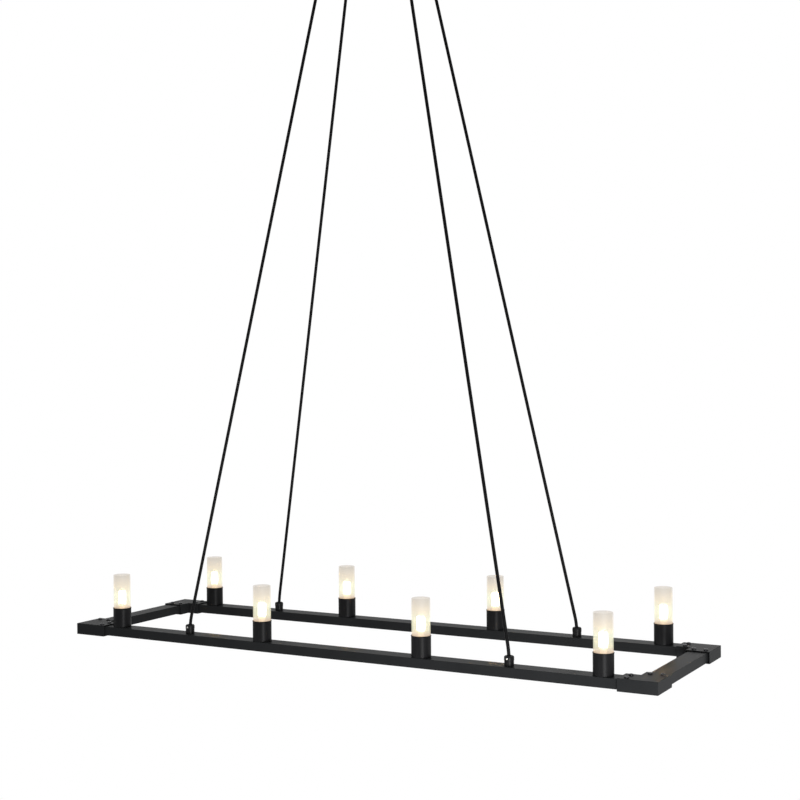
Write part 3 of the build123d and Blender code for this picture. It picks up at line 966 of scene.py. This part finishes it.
def make_cord_grips():
    bm = bmesh.new()
    low = -CANOPY_HEIGHT - GRIP_HEIGHT
    line = -CANOPY_HEIGHT - GRIP_LINE
    for x in (-OUTLET_X, OUTLET_X):
        for y in (-OUTLET_Y, OUTLET_Y):
            made = turn(bm, [
                (0, GRIP_STUB_HEIGHT - CANOPY_HEIGHT),
                (GRIP_STUB_RADIUS, GRIP_STUB_HEIGHT - CANOPY_HEIGHT),
                (GRIP_STUB_RADIUS, -CANOPY_HEIGHT),
                (GRIP_RADIUS, -CANOPY_HEIGHT),
                (GRIP_RADIUS, line + GRIP_LINE_HALF),
                (GRIP_RADIUS - GRIP_LINE_DEPTH, line),
                (GRIP_RADIUS, line - GRIP_LINE_HALF),
                (GRIP_RADIUS, low + GRIP_TAPER),
                *((GRIP_RADIUS - drawn_in, low + GRIP_TAPER * left) for left, drawn_in in GRIP_ROUNDING),
                (GRIP_TIP_RADIUS, low),
                (CORD_HOLE_RADIUS, low),
                (CORD_HOLE_RADIUS, CORD_TOP),
                (0, CORD_TOP),
            ], closed=False, steps=SLIM_STEPS)
            move(bm, made, (x, y, 0))
    make_piece("cord_grips", bm, gland_black, "canopy", ["canopy_cord_grips"], GRIP_EDGE)


def make_cap_nuts():
    bm = bmesh.new()
    dome = CAP_NUT_FLATS / 2 - CAP_NUT_STEP
    rise = CAP_NUT_HEIGHT - CAP_NUT_HEX
    radius = CAP_NUT_FLATS / 2 / math.cos(math.pi / 6)
    half_hex = Matrix.Rotation(math.pi / 6, 3, "Z")
    for x in (-CAP_NUT_X, CAP_NUT_X):
        hexagon = bmesh.ops.create_cone(
            bm, cap_ends=True, segments=6, radius1=radius, radius2=radius, depth=CAP_NUT_HEX
        )["verts"]
        bmesh.ops.rotate(bm, cent=(0, 0, 0), matrix=half_hex, verts=hexagon)
        move(bm, hexagon, (x, 0, -CANOPY_HEIGHT - CAP_NUT_HEX / 2))
        cap = turn(bm, [
            (0, CAP_NUT_OVERLAP),
            (dome, CAP_NUT_OVERLAP),
            *((dome * math.cos(turned), -rise * math.sin(turned)) for turned in quarter_turn(DOME_STEPS)),
        ], closed=False, steps=CAP_NUT_STEPS)
        move(bm, cap, (x, 0, -CANOPY_HEIGHT - CAP_NUT_HEX))
    make_piece("cap_nuts", bm, dark_steel, "canopy", ["canopy_cap_nuts"], CAP_NUT_EDGE)


def finish_nodes(material, *names):
    """Gives CAD nodes whose shape stays a finish of this script."""
    for name in names:
        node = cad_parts[name]
        node.data.materials.clear()
        node.data.materials.append(material)


def finish_hidden_nodes():
    finish_nodes(zinc_steel, "lamp_nipples", "rail_lock_nuts", "canopy_grip_nuts")
    finish_nodes(zinc_steel, "ceiling_bracket", "canopy_studs")
    finish_nodes(terminal_plastic, "terminal_block")


# ---- room -------------------------------------------------------------------------------------------
FLOOR_Z = -4.2
FLOOR_HALF = 30.0
FLOOR_COLOR = (0.86, 0.86, 0.86)
FLOOR_FADES_FROM = 1.5
FLOOR_WHITE_FROM = 5.0
FLOOR_PALENESS = 0.75  # the white in the lit floor right under the light
WHITE = (1, 1, 1)
ROOM_LEVEL = 0.25
MIDDLE = (0, 0, -1.5)
RIGHT_END = (0.7, -0.1, -1.5)


def white_where_seen(nodes, lit, share=1.0):
    """A lit surface with the background's white over it, for the rays that show the background."""
    rays = nodes.add("ShaderNodeLightPath", {}, {}).outputs
    camera, gloss, clear = (
        Value(nodes, rays[f"Is {ray} Ray"]) for ray in ("Camera", "Glossy", "Transmission")
    )
    white = nodes.node("ShaderNodeEmission", {}, {"Color": WHITE, "Strength": 1})
    seen = camera.larger(gloss).larger(clear)
    return nodes.node("ShaderNodeMixShader", {}, {0: seen * share, 1: lit, 2: white})


def make_world():
    world = bpy.data.worlds.new("room")
    world.use_nodes = True
    nodes = NodeTree(world.node_tree)
    lit = nodes.node("ShaderNodeBackground", {}, {"Color": WHITE, "Strength": ROOM_LEVEL})
    nodes.add("ShaderNodeOutputWorld", {}, {"Surface": white_where_seen(nodes, lit)})
    bpy.context.scene.world = world


def make_floor():
    bm = bmesh.new()
    made = bmesh.ops.create_grid(bm, x_segments=1, y_segments=1, size=FLOOR_HALF)["verts"]
    move(bm, made, (0, 0, FLOOR_Z))
    mesh = bpy.data.meshes.new("floor")
    bm.to_mesh(mesh)
    bm.free()
    floor = bpy.data.objects.new("floor", mesh)
    bpy.context.scene.collection.objects.link(floor)
    finish = Finish("floor", Roughness=0.9)
    finish.set("Base Color", FLOOR_COLOR)
    mesh.materials.append(finish.material)
    level = finish.scaled(finish.here(), (1.0, 1.0, 0.0))
    far = finish.node("ShaderNodeVectorMath", {"operation": "LENGTH"}, {0: level}, "Value")
    fade = finish.node("ShaderNodeMapRange", {"interpolation_type": "SMOOTHSTEP"}, {
        "Value": far,
        "From Min": FLOOR_FADES_FROM,
        "From Max": FLOOR_WHITE_FROM,
        "To Min": FLOOR_PALENESS,
    })
    finish.fill(finish.output.inputs["Surface"], white_where_seen(finish, finish.lit, fade))


def soft_light(name, place, target, size, watts, spread=180):
    """A softbox at a place, facing a target, with a grid where its spread is narrow."""
    light = bpy.data.lights.new(name, "AREA")
    light.shape = "RECTANGLE"
    light.size, light.size_y = size
    light.energy = watts
    light.spread = math.radians(spread)
    lamp = bpy.data.objects.new(name, light)
    aimed = (Vector(target) - Vector(place)).to_track_quat("-Z", "Y").to_matrix().to_4x4()
    lamp.matrix_world = Matrix.Translation(place) @ aimed
    bpy.context.scene.collection.objects.link(lamp)


make_tubes()
make_sleeves()
make_screws()
for lamp_side in SIDES:
    for lamp in LAMPS:
        make_cup(lamp_side, lamp)
        make_lampholder(lamp_side, lamp)
        make_shade(lamp_side, lamp)
        make_bulb(lamp_side, lamp)
make_glands()
make_cords()
make_canopy_cover()
make_cord_grips()
make_cap_nuts()
finish_hidden_nodes()
make_world()
make_floor()
soft_light("overhead softbox", (0.2, 0.5, 1.7), MIDDLE, (3.0, 2.0), 20)
soft_light("right rear softbox", (2.2, 1.3, -1.7), RIGHT_END, (1.6, 1.4), 5.6)
soft_light("right softbox", (2.5, -0.4, -1.7), RIGHT_END, (1.6, 1.4), 8.0)
soft_light("left softbox", (-3.2, -1.0, -1.6), MIDDLE, (1.4, 1.4), 2.8)
soft_light("front softbox", (-0.4, -2.4, -1.9), RIGHT_END, (0.8, 0.8), 0.6, 50)
soft_light("near left strip light", (-1.7, -1.95, -1.8), RIGHT_END, (0.5, 1.2), 0.24, 60)
soft_light("camera side softbox", (1.6, -1.7, -1.8), RIGHT_END, (0.8, 1.0), 58)
soft_light("rear softbox", (-0.5, 3.2, -0.7), RIGHT_END, (1.2, 0.8), 0.14, 60)

bpy.context.scene.view_settings.view_transform = "Standard"
